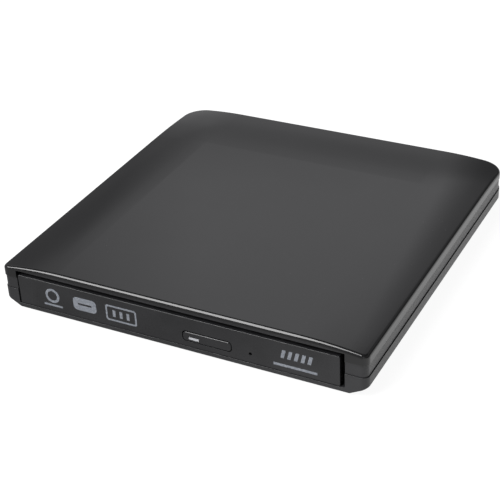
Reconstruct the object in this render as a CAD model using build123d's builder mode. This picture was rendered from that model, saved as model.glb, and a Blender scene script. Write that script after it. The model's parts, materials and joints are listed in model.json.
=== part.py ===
from build123d import *
import os
from math import cos, radians, sin, sqrt

os.makedirs("parts", exist_ok=True)

# An external optical drive: a 12.7 mm slim tray drive inside a three-part plastic case.
# Millimetres, +Z up. The front faces -Y. The origin is under the middle of the case,
# in the plane that the feet stand on.

# ------------------------------------------------------------ driving dimensions

# Case
WIDTH = 145.0
DEPTH = 146.0
FOOT_HEIGHT = 1.0
CASE_HEIGHT = 18.0
WALL = 1.6
FRONT_CORNER = 2.5
REAR_CORNER = 8.5
BEVEL_RUN = 6.5
BEVEL_RISE = 3.5
SEAM_RISE = 7.4  # from the underside to the seam between base and band
STEP = 0.3  # how far the band is set back from the lid and the base
GAP = 0.15  # clearance between mouldings that clip together
SNUG = 0.05  # clearance between pieces seated in one another
CONTACT = 0.02  # clearance between pieces that are glued, soldered or screwed down
RIM = 3.1  # from the outside of the case to the inside of the band
COLLAR_RISE = 1.2  # how far the band reaches up inside the lid's skirt

# Crown of the lid: flat in the middle, falling away to the sides and the back
CROWN_FLAT = 48.0
SIDE_DROP = 1.9
REAR_FLAT = 40.0
REAR_DROP = 1.5
LID_EDGE_ROUND = 1.3
LID_LIP = 1.5  # height of the lid's edge above the tray's opening

# Slim drive
DRIVE_SHIFT = -1.6  # the drive sits a little left of the middle of the case
DRIVE_WIDTH = 128.0
DRIVE_DEPTH = 126.0
DRIVE_HEIGHT = 12.7
SHEET = 0.5
BEZEL_WIDTH = 128.4
BEZEL_HEIGHT = 11.9
BEZEL_THICK = 3.6
DISC_RADIUS = 60.0
SMALL_DISC_RADIUS = 40.0
DISC_BORE_RADIUS = 7.5

# Pickup: it runs on a diagonal from the spindle towards the front right corner
SLED_ANGLE = -45.0
LENS_START = 23.0  # from the spindle's axis to the lens at its innermost

# ------------------------------------------------------------ levels and edges

FRONT = -DEPTH / 2
BACK = DEPTH / 2
UNDERSIDE = FOOT_HEIGHT
FLOOR = UNDERSIDE + WALL
SEAM = UNDERSIDE + SEAM_RISE
CROWN = UNDERSIDE + CASE_HEIGHT
LID_SKIRT = SEAM + 5.0  # lower edge of the lid along the sides and the back
LID_RETURN = 3.0  # depth of the strip above the opening where the lid stays high

DRIVE_BOTTOM = FLOOR + 0.2
DRIVE_TOP = DRIVE_BOTTOM + DRIVE_HEIGHT
DRIVE_FRONT = FRONT + 4.2
DRIVE_BACK = DRIVE_FRONT + DRIVE_DEPTH
DRIVE_HALF = DRIVE_WIDTH / 2
CHASSIS_FLOOR = DRIVE_BOTTOM + SHEET
CHASSIS_SPLIT = SEAM + 0.9

OPENING_LEFT = -66.3
OPENING_RIGHT = 64.4
OPENING_TOP = DRIVE_TOP + 0.85

TRAY_HALF = 59.9
TRAY_FRONT = DRIVE_FRONT
TRAY_BACK = DRIVE_BACK - 1.7
TRAY_BOTTOM = CHASSIS_FLOOR + 1.2
TRAY_TOP = DRIVE_TOP - 2.3
TRAY_WALL = 1.5
DECK_UNDER = TRAY_BOTTOM + 5.7
DISC_FLOOR = DECK_UNDER + 1.1
SMALL_DISC_FLOOR = DECK_UNDER + 0.6
HUB_Y = -7.0
SHIELD_THICK = 0.4
SHIELD_BOTTOM = CHASSIS_FLOOR + 0.6

RAIL_LOW = 6.8
RAIL_HIGH = 10.0
RAIL_LENGTH = 115.0
RAIL_INNER = 60.3
RAIL_OUTER = 62.4
RAIL_MIDDLE = (RAIL_LOW + RAIL_HIGH) / 2
RIB_REACH = 0.9  # how far the tray's rib reaches into the rail
RIB_HALF = 0.5

DRIVE = Plane((DRIVE_SHIFT, 0, 0))
SLED = Plane(
    origin=(DRIVE_SHIFT, HUB_Y, 0),
    x_dir=(cos(radians(SLED_ANGLE)), sin(radians(SLED_ANGLE)), 0),
    z_dir=(0, 0, 1),
)
HUB = Plane((DRIVE_SHIFT, HUB_Y, 0))


# ------------------------------------------------------------ shared shapes

FROM_END = (Align.CENTER, Align.CENTER, Align.MIN)


def block(x, y, z, mode=Mode.ADD):
    """A box between two limits in each direction, added to the part being built."""
    with Locations(((x[0] + x[1]) / 2, (y[0] + y[1]) / 2, (z[0] + z[1]) / 2)):
        Box(x[1] - x[0], y[1] - y[0], z[1] - z[0], mode=mode)


def post(x, y, z, radius, mode=Mode.ADD):
    """An upright cylinder between two heights, added to the part being built."""
    with Locations((x, y, z[0])):
        Cylinder(radius, z[1] - z[0], align=FROM_END, mode=mode)


def rod(x, y, z, radius, mode=Mode.ADD):
    """A cylinder lying along X between the limits in `x`, added to the part being built."""
    with Locations(Location((x[0], y, z), (0, 90, 0))):
        Cylinder(radius, x[1] - x[0], align=FROM_END, mode=mode)


def mirrored(side, near, far):
    """The limits `near` to `far` in X, on the side given by +1 or -1."""
    return sorted((side * near, side * far))


def case_outline(inset):
    """The plan of the case, `inset` inside its widest outline."""
    with BuildSketch() as outline:
        Rectangle(WIDTH - 2 * inset, DEPTH - 2 * inset)
        fillet(outline.vertices().group_by(Axis.Y)[-1], radius=REAR_CORNER - inset)
        fillet(outline.vertices().group_by(Axis.Y)[0], radius=max(FRONT_CORNER - inset, 0.4))
    return outline.sketch


def arc_drop(reach, run, drop):
    """How far an arc that falls `drop` over `run` has fallen after `reach`."""
    radius = (run**2 + drop**2) / (2 * drop)
    return radius - sqrt(radius**2 - reach**2)


def crown_profile(depth, low):
    """The case seen from the front: the crown lowered by `depth`, with straight sides down to `low`."""
    side = WIDTH / 2 + 1
    top = CROWN - depth
    fall = arc_drop(side - CROWN_FLAT, WIDTH / 2 - CROWN_FLAT, SIDE_DROP)
    radius = ((side - CROWN_FLAT) ** 2 + fall**2) / (2 * fall)
    with BuildSketch() as profile:
        with BuildLine():
            RadiusArc((-side, top - fall), (-CROWN_FLAT, top), radius)
            Line((-CROWN_FLAT, top), (CROWN_FLAT, top))
            RadiusArc((CROWN_FLAT, top), (side, top - fall), radius)
            Polyline((side, top - fall), (side, low), (-side, low), (-side, top - fall))
        make_face()
    return profile.sketch


def crowned_block(inset, bottom):
    """The case's plan raised from `bottom` to the lid's crown, all `inset` inside its skin."""
    far = BACK + 8
    top = CROWN - inset
    fall = arc_drop(far - REAR_FLAT, BACK - REAR_FLAT, REAR_DROP)
    radius = ((far - REAR_FLAT) ** 2 + fall**2) / (2 * fall)
    with BuildPart() as raised:
        with BuildSketch(Plane.XY.offset(bottom)):
            add(case_outline(inset))
        extrude(amount=CROWN - bottom + 2)
        with BuildSketch(Plane.XZ.offset(far)):
            add(crown_profile(inset, bottom - 8))
        with BuildLine(Plane.YZ) as spine:
            Line((-far, top), (REAR_FLAT, top))
            RadiusArc((REAR_FLAT, top), (far, top - fall), radius)
        sweep(path=spine.wires()[0], mode=Mode.INTERSECT)
    return raised.part


def front_strip(depth, reach, low, inset=0.0):
    """The space under the crown, lowered by `depth`, along the front above the tray's opening."""
    opening = (OPENING_LEFT + inset, OPENING_RIGHT - inset)
    with BuildPart() as strip:
        with BuildSketch(Plane.XZ.offset(-FRONT - reach)):
            add(crown_profile(depth, low))
        extrude(amount=reach + 1)
        block(opening, (FRONT - 1, FRONT + reach), (low, CROWN), Mode.INTERSECT)
    return strip.part


def cut_ports():
    """The openings in the back wall for the two sockets, cut from the part being built."""
    wall = (BACK - RIM - 2, BACK + 1)
    block(USB_CUT_X, wall, USB_CUT_Z, Mode.SUBTRACT)
    block(JACK_CUT_X, wall, JACK_CUT_Z, Mode.SUBTRACT)


# Cross recess of a screw: half its length and half its width as parts of the head's
# radius, and its depth as a part of the head's height
RECESS_REACH = 0.6
RECESS_SLOT = 0.13
RECESS_DEPTH = 0.6


def screw(x, y, tip, seat, shank, head, head_height, up=1):
    """A pan-head screw from its tip to its seat, with a cross recess in the head."""
    top = seat + up * head_height
    reach = head * RECESS_REACH
    slot = head * RECESS_SLOT
    post(x, y, sorted((tip, seat)), shank)
    post(x, y, sorted((seat, top)), head)
    recess = sorted((top, top - up * head_height * RECESS_DEPTH))
    block((x - reach, x + reach), (y - slot, y + slot), recess, Mode.SUBTRACT)
    block((x - slot, x + slot), (y - reach, y + reach), recess, Mode.SUBTRACT)


# ------------------------------------------------------------ sockets and board places

BOARD_LOW = FLOOR + 1.8
BOARD_HIGH = BOARD_LOW + 1.0
BOARD_X = (-45.0, 45.0)
BOARD_Y = (DRIVE_BACK + 1.8, BACK - RIM - 1.7)
BOARD_SCREWS = [(-42.0, 64.0), (42.0, 64.0)]
BOARD_SCREW_SHANK = 0.8
BOARD_BOSS = 2.4
USB_X = 14.0
USB_HALF = 3.9
USB_Z = (BOARD_HIGH + 0.05, BOARD_HIGH + 4.05)
USB_CUT_X = (USB_X - USB_HALF - 0.5, USB_X + USB_HALF + 0.5)
USB_CUT_Z = (USB_Z[0] - 0.4, USB_Z[1] + 0.5)
JACK_X = 31.0
JACK_HALF = 4.0
JACK_Z = (BOARD_HIGH + 0.05, BOARD_HIGH + 6.05)
JACK_ROOM = 0.3
JACK_CUT_X = (JACK_X - JACK_HALF - JACK_ROOM, JACK_X + JACK_HALF + JACK_ROOM)
JACK_CUT_Z = (JACK_Z[0] - JACK_ROOM, JACK_Z[1] + JACK_ROOM)
SOCKET_FACE = BACK - 0.6

CASE_SCREWS = [(-58.0, 66.0), (58.0, 66.0)]
CASE_SCREW_HEAD = 2.8
CASE_SCREW_SHANK = 1.25
CASE_SCREW_SINK = 2.0  # depth of the counterbore in the underside
CASE_BOSS = 4.2
CASE_RIB = 1.5  # half the width of the rib that joins a boss to the back wall
FEET = [(-50.0, -58.0), (50.0, -58.0), (-50.0, 54.0), (50.0, 54.0)]
FOOT_RADIUS = 4.5
FOOT_SEAT = 0.5
DRIVE_SCREWS = [(DRIVE_SHIFT + side * 61.8, y) for side in (-1, 1) for y in (-42.0, 38.0)]
DRIVE_SCREW_HEAD = 1.9
DRIVE_SCREW_SHANK = 1.0
DRIVE_SCREW_SINK = 1.0

# ------------------------------------------------------------ case


def front_posts():
    """The bar under the lid's front lip, and the posts inside the lid's corners that carry it."""
    low = LID_SKIRT - GAP
    with BuildPart() as posts:
        with BuildSketch(Plane.XY.offset(low)):
            add(case_outline(WALL + GAP))
        extrude(amount=CROWN - low)
        with BuildSketch(Plane.XZ.offset(-FRONT - LID_RETURN + GAP)):
            add(crown_profile(WALL + GAP, low - 1))
        extrude(amount=LID_RETURN, mode=Mode.INTERSECT)
        add(front_strip(LID_LIP + GAP, WALL - GAP, low, GAP))
        add(front_strip(WALL + GAP, LID_RETURN - GAP, low, GAP))
        block((-WIDTH, WIDTH), (FRONT - 2, FRONT + STEP), (0, CROWN), Mode.SUBTRACT)
    return posts.part


LID_HOOKS = (-45.0, 0.0, 45.0)  # places of the snap hooks along each side
HOOK_HALF = 4.0
HOOK_THICK = 1.0
HOOK_FACE = WIDTH / 2 - RIM - 0.3

# Lid: a gloss crowned panel with a skirt round the sides and the back
with BuildPart() as lid:
    add(crowned_block(0, LID_SKIRT))
    walls = lid.faces().filter_by(lambda face: abs(face.normal_at().Z) < 0.1)
    rim = walls.edges().filter_by(
        lambda edge: edge.center().Z > CROWN - 2.5 and abs(edge.tangent_at(0.5).Z) < 0.5
    )
    fillet(rim, radius=LID_EDGE_ROUND)
    add(crowned_block(WALL, LID_SKIRT - 1), mode=Mode.SUBTRACT)
    add(front_strip(LID_LIP, LID_RETURN, LID_SKIRT - 2), mode=Mode.SUBTRACT)
    for side in (-1, 1):
        hook = mirrored(side, HOOK_FACE - HOOK_THICK, HOOK_FACE)
        for y in LID_HOOKS:
            block(hook, (y - HOOK_HALF, y + HOOK_HALF), (LID_SKIRT - 1, CROWN - SIDE_DROP - 0.7))

# Band: the matte middle of the case, with the front corner posts and the bar above the bezel
with BuildPart() as upper_frame:
    with BuildSketch(Plane.XY.offset(SEAM + GAP)):
        add(case_outline(STEP))
        add(case_outline(RIM), mode=Mode.SUBTRACT)
    extrude(amount=LID_SKIRT - SEAM - 2 * GAP)
    with BuildSketch(Plane.XY.offset(LID_SKIRT - GAP)):
        add(case_outline(WALL + GAP))
        add(case_outline(RIM), mode=Mode.SUBTRACT)
    extrude(amount=COLLAR_RISE)
    add(front_posts())
    block((OPENING_LEFT, OPENING_RIGHT), (FRONT - 1, FRONT + 8), (SEAM - 1, OPENING_TOP), Mode.SUBTRACT)
    for x, y in CASE_SCREWS:
        post(x, y, (SEAM + GAP, LID_SKIRT + 1), CASE_BOSS - 0.6)
        block((x - CASE_RIB, x + CASE_RIB), (y, BACK - RIM + 0.5), (SEAM + GAP, LID_SKIRT))
        post(x, y, (SEAM, LID_SKIRT), CASE_SCREW_SHANK + 0.1, Mode.SUBTRACT)
    cut_ports()


def base_profile(inset):
    """The tub seen from the front, with its bevelled long edges, `inset` inside its skin."""
    half = WIDTH / 2
    with BuildSketch() as profile:
        with BuildLine():
            Polyline(
                (-half, CROWN),
                (-half, UNDERSIDE + BEVEL_RISE),
                (BEVEL_RUN - half, UNDERSIDE),
                (half - BEVEL_RUN, UNDERSIDE),
                (half, UNDERSIDE + BEVEL_RISE),
                (half, CROWN),
                close=True,
            )
        make_face()
        if inset:
            offset(amount=-inset, kind=Kind.INTERSECTION, mode=Mode.REPLACE)
    return profile.sketch


TONGUE = 1.2  # thickness and height of the tongue that locates the band on the base
RIM_DEPTH = 1.9  # how far the thickened rim reaches down from the seam

# Base: a shallow tub with bevelled long edges
with BuildPart() as base_cover:
    with BuildSketch(Plane.XY.offset(UNDERSIDE)):
        add(case_outline(0))
    extrude(amount=SEAM_RISE)
    with BuildSketch(Plane.XZ.offset(BACK)):
        add(base_profile(0))
    extrude(amount=-DEPTH, mode=Mode.INTERSECT)
    with BuildSketch(Plane.XZ.offset(BACK - WALL)):
        add(base_profile(WALL))
    extrude(amount=2 * WALL - DEPTH, mode=Mode.SUBTRACT)
    # Thickened rim that carries the locating tongue
    with BuildSketch(Plane.XY.offset(SEAM - RIM_DEPTH)):
        add(case_outline(WALL / 2))
        add(case_outline(RIM + TONGUE), mode=Mode.SUBTRACT)
    extrude(amount=RIM_DEPTH)
    with BuildSketch(Plane.XY.offset(SEAM)):
        add(case_outline(RIM + GAP))
        add(case_outline(RIM + TONGUE), mode=Mode.SUBTRACT)
    extrude(amount=TONGUE)
    block((OPENING_LEFT, OPENING_RIGHT), (FRONT - 1, FRONT + 8), (FLOOR, SEAM + 2), Mode.SUBTRACT)
    for x, y in CASE_SCREWS:
        post(x, y, (FLOOR - 0.5, SEAM), CASE_BOSS)
        post(x, y, (SEAM, SEAM + 2), CASE_BOSS + GAP, Mode.SUBTRACT)
        rib_room = (x - CASE_RIB - 2 * GAP, x + CASE_RIB + 2 * GAP)
        block(rib_room, (y, BACK - WALL), (SEAM, SEAM + 2), Mode.SUBTRACT)
    for x, y in BOARD_SCREWS:
        post(x, y, (FLOOR - 0.5, BOARD_LOW - SNUG), BOARD_BOSS)
        post(x, y, (FLOOR, BOARD_LOW), BOARD_SCREW_SHANK + SNUG, Mode.SUBTRACT)
    with Locations(*[Location((x, y, UNDERSIDE), (180, 0, 0)) for x, y in CASE_SCREWS]):
        CounterBoreHole(CASE_SCREW_SHANK + 0.45, CASE_SCREW_HEAD + 0.3, CASE_SCREW_SINK, SEAM_RISE)
    with Locations(*[Location((x, y, UNDERSIDE), (180, 0, 0)) for x, y in DRIVE_SCREWS]):
        CounterBoreHole(DRIVE_SCREW_SHANK + 0.2, DRIVE_SCREW_HEAD + 0.2, DRIVE_SCREW_SINK, WALL)
    for x, y in FEET:
        post(x, y, (UNDERSIDE - 1, UNDERSIDE + FOOT_SEAT), FOOT_RADIUS + 0.1, Mode.SUBTRACT)
    cut_ports()

# Feet: four round pads seated in shallow recesses
with BuildPart() as rubber_feet:
    for x, y in FEET:
        post(x, y, (0, UNDERSIDE + FOOT_SEAT - SNUG), FOOT_RADIUS)
    fillet(rubber_feet.edges().group_by(Axis.Z)[0], radius=0.4)

with BuildPart() as case_screws:
    seat = UNDERSIDE + CASE_SCREW_SINK - SNUG
    for x, y in CASE_SCREWS:
        screw(x, y, LID_SKIRT - 1, seat, CASE_SCREW_SHANK, CASE_SCREW_HEAD, 1.6, up=-1)

with BuildPart() as drive_screws:
    seat = UNDERSIDE + DRIVE_SCREW_SINK - SNUG
    for x, y in DRIVE_SCREWS:
        screw(x, y, CHASSIS_FLOOR + 1.4, seat, DRIVE_SCREW_SHANK, DRIVE_SCREW_HEAD, 0.8, up=-1)

FOAM_SPOTS = [(-35.0, -50.0), (35.0, -50.0), (-35.0, 30.0), (35.0, 30.0)]

# Foam between the drive and the lid keeps the drive from rattling
with BuildPart() as foam_pads:
    for x, y in FOAM_SPOTS:
        block((x - 12, x + 12), (y - 5, y + 5), (DRIVE_TOP + SNUG, CROWN - WALL - 0.1))

# ------------------------------------------------------------ bridge board and its sockets

BRIDGE_CHIPS = (  # X, Y, width, depth, height
    (-2.0, 63.5, 7.0, 7.0, 1.0),
    (-7.5, 66.0, 2.0, 3.2, 0.8),
    (22.0, 63.0, 4.0, 3.0, 1.2),
)


def chip(x, y, width, depth, z):
    """A square-cornered component centred on `x` and `y`, added to the part being built."""
    block((x - width / 2, x + width / 2), (y - depth / 2, y + depth / 2), z)


with BuildPart() as bridge_board:
    block(BOARD_X, BOARD_Y, (BOARD_LOW, BOARD_HIGH))
    for x, y in BOARD_SCREWS:
        post(x, y, (BOARD_LOW, BOARD_HIGH), BOARD_SCREW_SHANK + 0.3, Mode.SUBTRACT)
    fillet(bridge_board.edges().filter_by(Axis.Z).sort_by(Axis.X)[0:2], radius=1.0)

with BuildPart() as board_screws:
    for x, y in BOARD_SCREWS:
        screw(x, y, FLOOR + 0.2, BOARD_HIGH + CONTACT, BOARD_SCREW_SHANK, 1.7, 0.9)

with BuildPart() as bridge_chips:
    for x, y, width, depth, height in BRIDGE_CHIPS:
        chip(x, y, width, depth, (BOARD_HIGH + CONTACT, BOARD_HIGH + height))

# Small five-contact data socket: a steel shell with chamfered lower corners, and its tongue
USB_SKIN = 0.3
USB_LENGTH = 8.0
with BuildPart() as usb_port:
    usb_middle = (USB_X, (USB_Z[0] + USB_Z[1]) / 2)
    usb_height = USB_Z[1] - USB_Z[0]
    with BuildSketch(Plane.XZ.offset(-SOCKET_FACE)) as usb_outline:
        with Locations(usb_middle):
            Rectangle(2 * USB_HALF, usb_height)
        chamfer(usb_outline.vertices().group_by(Axis.Y)[0], length=0.9)
    extrude(amount=USB_LENGTH)
    with BuildSketch(Plane.XZ.offset(-SOCKET_FACE)) as usb_mouth:
        with Locations(usb_middle):
            Rectangle(2 * (USB_HALF - USB_SKIN), usb_height - 2 * USB_SKIN)
        chamfer(usb_mouth.vertices().group_by(Axis.Y)[0], length=0.8)
    extrude(amount=USB_LENGTH - 2 * USB_SKIN, mode=Mode.SUBTRACT)

with BuildPart() as usb_tongue:
    tongue_y = (SOCKET_FACE - USB_LENGTH + 2 * USB_SKIN + SNUG, SOCKET_FACE - 1.0)
    block((USB_X - 2.2, USB_X + 2.2), tongue_y, (USB_Z[0] + 1.6, USB_Z[0] + 2.5))

# Round power socket with a centre pin
JACK_BORE = 2.0
JACK_PIN = 0.5
JACK_LENGTH = 9.5
with BuildPart() as dc_jack:
    block((JACK_X - JACK_HALF, JACK_X + JACK_HALF), (SOCKET_FACE - JACK_LENGTH, SOCKET_FACE), JACK_Z)
    with BuildSketch(Plane.XZ.offset(-SOCKET_FACE)):
        with Locations((JACK_X, (JACK_Z[0] + JACK_Z[1]) / 2)):
            Circle(JACK_BORE)
            Circle(JACK_PIN, mode=Mode.SUBTRACT)
    extrude(amount=JACK_LENGTH - 1.5, mode=Mode.SUBTRACT)

# ------------------------------------------------------------ chassis of the slim drive

CHASSIS_WALL = 0.6
CHASSIS_INNER = DRIVE_HALF - CHASSIS_WALL
REAR_WALL = (DRIVE_BACK - CHASSIS_WALL, DRIVE_BACK)
PLUG_X = (-36.0, -10.0)
PLUG_Z = (BOARD_HIGH + 0.3, BOARD_HIGH + 4.3)
BOSS_SPOTS = [(x - DRIVE_SHIFT, y) for x, y in DRIVE_SCREWS]
TOP_SCREWS = [(side * 62.1, y) for side in (-1, 1) for y in (-62.0, 50.0)]
TOP_LUG = 1.5
TOP_SCREW_SHANK = 0.7


def chassis_walls(low, high):
    """The two long walls and the rear wall of a folded sheet cover."""
    for side in (-1, 1):
        block(mirrored(side, CHASSIS_INNER, DRIVE_HALF), (DRIVE_FRONT, DRIVE_BACK), (low, high))
    block((-DRIVE_HALF, DRIVE_HALF), REAR_WALL, (low, high))


def rear_window():
    """The gap in the rear wall for the drive's own plug."""
    room = 0.3
    window_x = (PLUG_X[0] - room, PLUG_X[1] + room)
    window_z = (PLUG_Z[0] - room, PLUG_Z[1] + room)
    block(window_x, (DRIVE_BACK - 1, DRIVE_BACK + 1), window_z, Mode.SUBTRACT)


with BuildPart(DRIVE) as chassis_bottom:
    block((-DRIVE_HALF, DRIVE_HALF), (DRIVE_FRONT, DRIVE_BACK), (DRIVE_BOTTOM, CHASSIS_FLOOR))
    chassis_walls(DRIVE_BOTTOM, CHASSIS_SPLIT - 0.05)
    for x, y in BOSS_SPOTS:
        boss_z = (DRIVE_BOTTOM, CHASSIS_FLOOR + 1.6)
        post(x, y, boss_z, DRIVE_SCREW_SHANK + 0.35)
        post(x, y, boss_z, DRIVE_SCREW_SHANK + 0.03, Mode.SUBTRACT)
    rear_window()

with BuildPart(DRIVE) as chassis_top:
    block((-DRIVE_HALF, DRIVE_HALF), (DRIVE_FRONT, DRIVE_BACK), (DRIVE_TOP - SHEET, DRIVE_TOP))
    chassis_walls(CHASSIS_SPLIT + 0.05, DRIVE_TOP)
    fillet(chassis_top.edges().filter_by(Axis.Z).group_by(Axis.Y)[-1], radius=0.4)
    for x, y in TOP_SCREWS:
        post(x, y, (DRIVE_TOP - SHEET, DRIVE_TOP), TOP_SCREW_SHANK + 0.15, Mode.SUBTRACT)
    rear_window()

with BuildPart(DRIVE) as chassis_screws:
    for x, y in TOP_SCREWS:
        screw(x, y, DRIVE_TOP - SHEET - TOP_LUG + 0.1, DRIVE_TOP + CONTACT, TOP_SCREW_SHANK, 1.4, 0.5)

# Fixed guides: a web against each chassis wall with a flange above and below the rail
GUIDE_WEB = (RAIL_OUTER + 0.2, CHASSIS_INNER - 0.1)
GUIDE_REACH = 61.2
GUIDE_FLANGE = 0.6


def guide(side):
    """The channel fixed inside one long wall of the chassis."""
    with BuildPart(DRIVE) as channel:
        length = (DRIVE_FRONT + 0.5, REAR_WALL[0] - 0.3)
        low = RAIL_LOW - 0.2
        high = RAIL_HIGH + 0.2
        top = DRIVE_TOP - SHEET - 0.1
        web = mirrored(side, *GUIDE_WEB)
        flange = mirrored(side, GUIDE_REACH, GUIDE_WEB[1])
        block(web, length, (low - GUIDE_FLANGE, top))
        block(flange, length, (low - GUIDE_FLANGE, low))
        block(flange, length, (high, high + GUIDE_FLANGE))
        for x, y in TOP_SCREWS:
            if x * side > 0:
                lug = mirrored(side, GUIDE_REACH - 0.4, GUIDE_WEB[1])
                block(lug, (y - 2.2, y + 2.2), (top - TOP_LUG, top))
                post(x, y, (top - TOP_LUG, top), TOP_SCREW_SHANK + SNUG, Mode.SUBTRACT)
    return channel.part


def rail(side):
    """The sliding rail on one side; its groove carries the rib of the tray."""
    with BuildPart(DRIVE) as bar:
        length = (DRIVE_FRONT + 0.6, DRIVE_FRONT + 0.6 + RAIL_LENGTH)
        groove = mirrored(side, RAIL_INNER - 1, RAIL_INNER + RIB_REACH + 0.2)
        groove_z = (RAIL_MIDDLE - RIB_HALF - 0.2, RAIL_MIDDLE + RIB_HALF + 0.2)
        block(mirrored(side, RAIL_INNER, RAIL_OUTER), length, (RAIL_LOW, RAIL_HIGH))
        block(groove, (FRONT - 1, BACK), groove_z, Mode.SUBTRACT)
    return bar.part


with BuildPart() as guide_left:
    add(guide(-1))
with BuildPart() as guide_right:
    add(guide(1))
with BuildPart() as rail_left:
    add(rail(-1))
with BuildPart() as rail_right:
    add(rail(1))

# Rear connector: a small board on the chassis floor with the plug that leaves the rear wall
TONGUE_Z = (PLUG_Z[0] + 1.4, PLUG_Z[0] + 2.6)
PLUG_KEY = (-21.0, -19.6)  # the gap between the signal and the power contacts
NOTCH_X = (PLUG_X[0] - 4.0, PLUG_X[1] + 4.0)  # the part of the tray cut away above the board
NOTCH_Y = DRIVE_BACK - 10.6
CONNECTOR_BOARD_LOW = CHASSIS_FLOOR + 0.7
CONNECTOR_BOARD_HIGH = CONNECTOR_BOARD_LOW + 0.8

with BuildPart(DRIVE) as connector_board:
    board_x = (PLUG_X[0] - 3.0, PLUG_X[1] + 3.0)
    block(board_x, (DRIVE_BACK - 9.6, REAR_WALL[0] - 0.2), (CONNECTOR_BOARD_LOW, CONNECTOR_BOARD_HIGH))

with BuildPart(DRIVE) as sata_plug:
    block(PLUG_X, (DRIVE_BACK - 4.5, DRIVE_BACK + 0.9), PLUG_Z)
    plug_tongue = (DRIVE_BACK + 0.9, DRIVE_BACK + 2.6)
    block((PLUG_X[0] + 1.2, PLUG_X[1] - 1.2), plug_tongue, TONGUE_Z)
    block(PLUG_KEY, plug_tongue, TONGUE_Z, Mode.SUBTRACT)

with BuildPart(DRIVE) as sata_receptacle:
    block(PLUG_X, (DRIVE_BACK + 1.1, DRIVE_BACK + 5.6), (BOARD_HIGH + SNUG, PLUG_Z[1]))
    slot_x = (PLUG_X[0] + 1.0, PLUG_X[1] - 1.0)
    slot_z = (TONGUE_Z[0] - 0.2, TONGUE_Z[1] + 0.2)
    block(slot_x, (DRIVE_BACK, DRIVE_BACK + 3.0), slot_z, Mode.SUBTRACT)

# Fixed pin that the latch hooks behind
LATCH_POST = (50.0, 48.5)
with BuildPart(DRIVE) as latch_post:
    post(*LATCH_POST, (CHASSIS_FLOOR + CONTACT, CHASSIS_FLOOR + 0.4), 1.5)
    post(*LATCH_POST, (CHASSIS_FLOOR + CONTACT, CHASSIS_FLOOR + 4.0), 1.0)

# Flat cable: out from the connector board, folded back on itself to the tray
FLEX_X = (-30.0, -16.0)
FLEX_THICK = 0.1
FLEX_LOW = CHASSIS_FLOOR + 0.1
FLEX_HIGH = FLEX_LOW + 0.25
FLEX_FOLD = -20.0
FLEX_START = DRIVE_BACK - 6.0
FLEX_END = 43.0
with BuildPart(DRIVE) as flex_cable:
    low_top = FLEX_LOW + FLEX_THICK
    high_top = FLEX_HIGH + FLEX_THICK
    fold_outer = (high_top - FLEX_LOW) / 2
    with BuildSketch(DRIVE * Plane.YZ.offset(FLEX_X[0])):
        with BuildLine():
            Polyline(
                (FLEX_FOLD, FLEX_LOW),
                (FLEX_START, FLEX_LOW),
                (FLEX_START, low_top),
                (FLEX_FOLD, low_top),
            )
            RadiusArc((FLEX_FOLD, low_top), (FLEX_FOLD, FLEX_HIGH), fold_outer - FLEX_THICK)
            Polyline(
                (FLEX_FOLD, FLEX_HIGH),
                (FLEX_END, FLEX_HIGH),
                (FLEX_END, high_top),
                (FLEX_FOLD, high_top),
            )
            RadiusArc((FLEX_FOLD, high_top), (FLEX_FOLD, FLEX_LOW), -fold_outer)
        make_face()
    extrude(amount=FLEX_X[1] - FLEX_X[0])

# Front of the drive: places in the bezel, measured from the drive's own middle
BEZEL_FACE = FRONT + 0.2
BEZEL_BACK = BEZEL_FACE + BEZEL_THICK
BEZEL_Z = (DRIVE_BOTTOM - 0.05, DRIVE_BOTTOM - 0.05 + BEZEL_HEIGHT)
BEZEL_SKIN = 1.8
BEZEL_FLANGE = 1.2  # height of the wall left above and below the hollow in the back
BUTTON_X = (2.8 - DRIVE_SHIFT, 22.3 - DRIVE_SHIFT)
BUTTON_Z = (4.8, 9.2)
BUTTON_ROUND = 1.6
BUTTON_MIDDLE = ((BUTTON_X[0] + BUTTON_X[1]) / 2, (BUTTON_Z[0] + BUTTON_Z[1]) / 2)
LAMP_X = (5.4 - DRIVE_SHIFT, 9.4 - DRIVE_SHIFT)
LAMP_Z = (5.75, 6.85)
PINHOLE_X = 29.4 - DRIVE_SHIFT
PINHOLE_Z = 6.4

# ------------------------------------------------------------ tray

DAMPER_SPOTS = [(-24.0, 0.0), (38.0, -24.0), (38.0, 24.0)]
BOARD_POSTS = [(-50.0, 30.0), (-50.0, 50.0), (20.0, 48.0)]
SHIELD_SPOTS = [(-56.0, -60.0), (56.0, -20.0), (-56.0, 12.0), (56.0, 20.0)]
LATCH_SLOT = (LATCH_POST[0] - 1.8, LATCH_POST[0] + 1.8)
LATCH_PIVOT = (45.0, 34.0)
PLUNGER_X = -54.5
PLUNGER_Z = TRAY_BOTTOM + 3.1
PLUNGER_RADIUS = 1.2
CLIP_X = (-50.0, 50.0)
CLIP_HALF = 3.0
CLIP_Z = (SEAM - 0.4, SEAM + 1.2)
WINDOW_HALF = 8.5
COVER_NEAR = 19.0
COVER_HALF = 17.0
COVER_END = 67.0
COVER_END_HALF = 13.5


def deck_outline(grow):
    """Outline of the metal plate round the spindle and along the pickup's path."""
    with BuildSketch(SLED) as outline:
        Circle(COVER_NEAR + grow)
        with BuildLine():
            Polyline(
                (0, -COVER_HALF - grow),
                (50, -COVER_HALF - grow),
                (COVER_END + grow, -COVER_END_HALF - grow),
                (COVER_END + grow, COVER_END_HALF + grow),
                (50, COVER_HALF + grow),
                (0, COVER_HALF + grow),
                close=True,
            )
        make_face()
    return outline.sketch


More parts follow.
